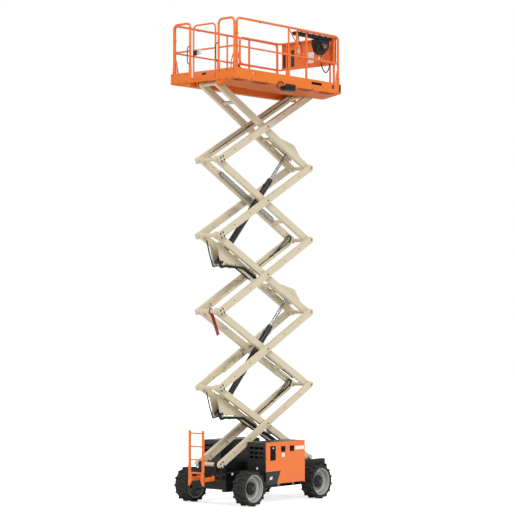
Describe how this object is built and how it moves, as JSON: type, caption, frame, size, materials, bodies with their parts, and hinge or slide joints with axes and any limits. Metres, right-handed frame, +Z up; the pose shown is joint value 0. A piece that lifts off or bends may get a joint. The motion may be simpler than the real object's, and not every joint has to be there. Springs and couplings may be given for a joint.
{
  "type": "scissor lift",
  "caption": "Rough-terrain scissor lift with its railed, extending platform raised on crossed steel arms by inclined hydraulic cylinders, on a wheeled chassis with a boarding ladder.",
  "frame": {"origin": "on the ground under the middle of the machine", "axes": "+X to the steered front end, +Y to the far side away from the pictured side, +Z up"},
  "size_m": [3.4, 1.75, 9.112],
  "materials": {
    "dark_steel": "dark grey chassis enamel",
    "orange_paint": "orange gloss enamel",
    "cream_paint": "cream enamel",
    "tray_steel": "galvanised sheet",
    "silver_paint": "silver enamel",
    "tyre": "solid black rubber",
    "chrome": "hard chrome",
    "black_plastic": "moulded black",
    "red_paint": "red enamel"
  },
  "bodies": {
    "chassis": {"chassis_frame": "dark_steel", "ladder": "orange_paint", "axle_rear": "dark_steel", "axle_front": "dark_steel", "hoods": "dark_steel", "power_unit": "dark_steel", "tank": "dark_steel"},
    "outer_1": {"outer_arms_1": "cream_paint", "cable_tray_1": "tray_steel"},
    "inner_1": {"inner_frame_1": "cream_paint"},
    "outer_2": {"outer_arms_2": "cream_paint", "cable_tray_2": "tray_steel"},
    "inner_2": {"inner_frame_2": "cream_paint"},
    "outer_3": {"outer_arms_3": "cream_paint", "cable_tray_3": "tray_steel"},
    "inner_3": {"inner_frame_3": "cream_paint"},
    "outer_4": {"outer_arms_4": "cream_paint"},
    "inner_4": {"inner_frame_4": "cream_paint", "cable_tray_4": "dark_steel"},
    "outer_5": {"outer_arms_5": "cream_paint", "cable_tray_5": "tray_steel"},
    "inner_5": {"inner_frame_5": "cream_paint"},
    "wheel_rear_near": {"tyre_rear_near": "tyre", "rim_rear_near": "silver_paint"},
    "wheel_rear_far": {"tyre_rear_far": "tyre", "rim_rear_far": "silver_paint"},
    "wheel_front_near": {"tyre_front_near": "tyre", "rim_front_near": "silver_paint"},
    "wheel_front_far": {"tyre_front_far": "tyre", "rim_front_far": "silver_paint"},
    "knuckle_near": {"knuckle_near": "dark_steel"},
    "door_near": {"door_near": "orange_paint"},
    "knuckle_far": {"knuckle_far": "dark_steel"},
    "door_far": {"door_far": "orange_paint"},
    "rod_lower": {"rod_lower": "chrome"},
    "barrel_lower": {"barrel_lower": "dark_steel"},
    "rod_upper": {"rod_upper": "chrome"},
    "barrel_upper": {"barrel_upper": "dark_steel"},
    "platform": {"platform_deck": "orange_paint", "platform_rails": "orange_paint"},
    "gate": {"gate": "orange_paint"},
    "extension": {"extension_deck": "orange_paint", "extension_rails": "orange_paint", "front_panel": "orange_paint", "console": "black_plastic"},
    "safety_prop": {"safety_prop": "red_paint"}
  },
  "joints": [
    {"name": "lift", "type": "hinge", "parent": "chassis", "child": "outer_1", "pos_m": [-1.395, 0, 0.76], "axis": [0, -1, 0], "range_deg": [-23.5, 35]},
    {"name": "centre_pivot_1", "type": "hinge", "parent": "outer_1", "child": "inner_1", "pos_m": [-0.04853, 0, 1.476], "axis": [0, -1, 0], "range_deg": [-70.15, 47.15]},
    {"name": "rear_pivot_1", "type": "hinge", "parent": "inner_1", "child": "outer_2", "pos_m": [-1.395, 0, 2.192], "axis": [0, -1, 0], "range_deg": [-47.15, 70.15]},
    {"name": "centre_pivot_2", "type": "hinge", "parent": "outer_2", "child": "inner_2", "pos_m": [-0.04853, 0, 2.908], "axis": [0, -1, 0], "range_deg": [-70.15, 47.15]},
    {"name": "rear_pivot_2", "type": "hinge", "parent": "inner_2", "child": "outer_3", "pos_m": [-1.395, 0, 3.624], "axis": [0, -1, 0], "range_deg": [-47.15, 70.15]},
    {"name": "centre_pivot_3", "type": "hinge", "parent": "outer_3", "child": "inner_3", "pos_m": [-0.04853, 0, 4.34], "axis": [0, -1, 0], "range_deg": [-70.15, 47.15]},
    {"name": "rear_pivot_3", "type": "hinge", "parent": "inner_3", "child": "outer_4", "pos_m": [-1.395, 0, 5.056], "axis": [0, -1, 0], "range_deg": [-47.15, 70.15]},
    {"name": "centre_pivot_4", "type": "hinge", "parent": "outer_4", "child": "inner_4", "pos_m": [-0.04853, 0, 5.772], "axis": [0, -1, 0], "range_deg": [-70.15, 47.15]},
    {"name": "rear_pivot_4", "type": "hinge", "parent": "inner_4", "child": "outer_5", "pos_m": [-1.395, 0, 6.488], "axis": [0, -1, 0], "range_deg": [-47.15, 70.15]},
    {"name": "centre_pivot_5", "type": "hinge", "parent": "outer_5", "child": "inner_5", "pos_m": [-0.04853, 0, 7.204], "axis": [0, -1, 0], "range_deg": [-70.15, 47.15]},
    {"name": "platform_pivot", "type": "hinge", "parent": "inner_5", "child": "platform", "pos_m": [-1.395, 0, 7.92], "axis": [0, -1, 0], "range_deg": [-23.65, 35.15]},
    {"name": "rod_pivot_lower", "type": "hinge", "parent": "inner_3", "child": "rod_lower", "pos_m": [0.99095, 0, 3.99451], "axis": [0, -1, 0], "range_deg": [-41.51, 61.75]},
    {"name": "barrel_slide_lower", "type": "slide", "parent": "rod_lower", "child": "barrel_lower", "axis": [-0.6813, 0, -0.732], "range_m": [-0.7085, 1.0537]},
    {"name": "rod_pivot_upper", "type": "hinge", "parent": "inner_5", "child": "rod_upper", "pos_m": [0.99095, 0, 6.85851], "axis": [0, -1, 0], "range_deg": [-41.51, 61.75]},
    {"name": "barrel_slide_upper", "type": "slide", "parent": "rod_upper", "child": "barrel_upper", "axis": [-0.6813, 0, -0.732], "range_m": [-0.7085, 1.0537]},
    {"name": "prop_pivot", "type": "hinge", "parent": "outer_3", "child": "safety_prop", "pos_m": [-1.395, 0, 3.624], "axis": [0, -1, 0], "range_deg": [-70.15, 47.15]},
    {"name": "steer", "type": "hinge", "parent": "chassis", "child": "knuckle_near", "pos_m": [0.914, -0.6, 0.33], "axis": [0, 0, 1], "range_deg": [-25, 25]},
    {"name": "steer_far", "type": "hinge", "parent": "chassis", "child": "knuckle_far", "pos_m": [0.914, 0.6, 0.33], "axis": [0, 0, 1], "range_deg": [-25.1, 25.1]},
    {"name": "wheel_spin_rear_near", "type": "hinge", "parent": "chassis", "child": "wheel_rear_near", "pos_m": [-1.11, -0.725, 0.33], "axis": [0, 1, 0], "continuous": true},
    {"name": "wheel_spin_rear_far", "type": "hinge", "parent": "chassis", "child": "wheel_rear_far", "pos_m": [-1.11, 0.725, 0.33], "axis": [0, 1, 0], "continuous": true},
    {"name": "wheel_spin_front_near", "type": "hinge", "parent": "knuckle_near", "child": "wheel_front_near", "pos_m": [0.914, -0.725, 0.33], "axis": [0, 1, 0], "continuous": true},
    {"name": "wheel_spin_front_far", "type": "hinge", "parent": "knuckle_far", "child": "wheel_front_far", "pos_m": [0.914, 0.725, 0.33], "axis": [0, 1, 0], "continuous": true},
    {"name": "door_near", "type": "hinge", "parent": "chassis", "child": "door_near", "pos_m": [0, -0.792, 0.362], "axis": [1, 0, 0], "range_deg": [0, 90]},
    {"name": "door_far", "type": "hinge", "parent": "chassis", "child": "door_far", "pos_m": [0, 0.792, 0.362], "axis": [-1, 0, 0], "range_deg": [0, 90]},
    {"name": "gate_swing", "type": "hinge", "parent": "platform", "child": "gate", "pos_m": [-1.5717, -0.327, 8.3], "axis": [0, 0, -1], "range_deg": [0, 90]},
    {"name": "extension_slide", "type": "slide", "parent": "platform", "child": "extension", "axis": [1, 0, 0], "range_m": [0, 1.2]}
  ],
  "couplings": [
    {"joint": "centre_pivot_1", "follows": "lift", "ratio": -2},
    {"joint": "rear_pivot_1", "follows": "lift", "ratio": 2},
    {"joint": "centre_pivot_2", "follows": "lift", "ratio": -2},
    {"joint": "rear_pivot_2", "follows": "lift", "ratio": 2},
    {"joint": "centre_pivot_3", "follows": "lift", "ratio": -2},
    {"joint": "rear_pivot_3", "follows": "lift", "ratio": 2},
    {"joint": "centre_pivot_4", "follows": "lift", "ratio": -2},
    {"joint": "rear_pivot_4", "follows": "lift", "ratio": 2},
    {"joint": "centre_pivot_5", "follows": "lift", "ratio": -2},
    {"joint": "platform_pivot", "follows": "lift", "ratio": 1},
    {"joint": "rod_pivot_lower", "follows": "lift", "ratio": 1.76},
    {"joint": "barrel_slide_lower", "follows": "lift", "m_per_rad": 1.72},
    {"joint": "rod_pivot_upper", "follows": "lift", "ratio": 1.76},
    {"joint": "barrel_slide_upper", "follows": "lift", "m_per_rad": 1.72},
    {"joint": "prop_pivot", "follows": "lift", "ratio": -2},
    {"joint": "steer_far", "follows": "steer", "ratio": 1}
  ]
}
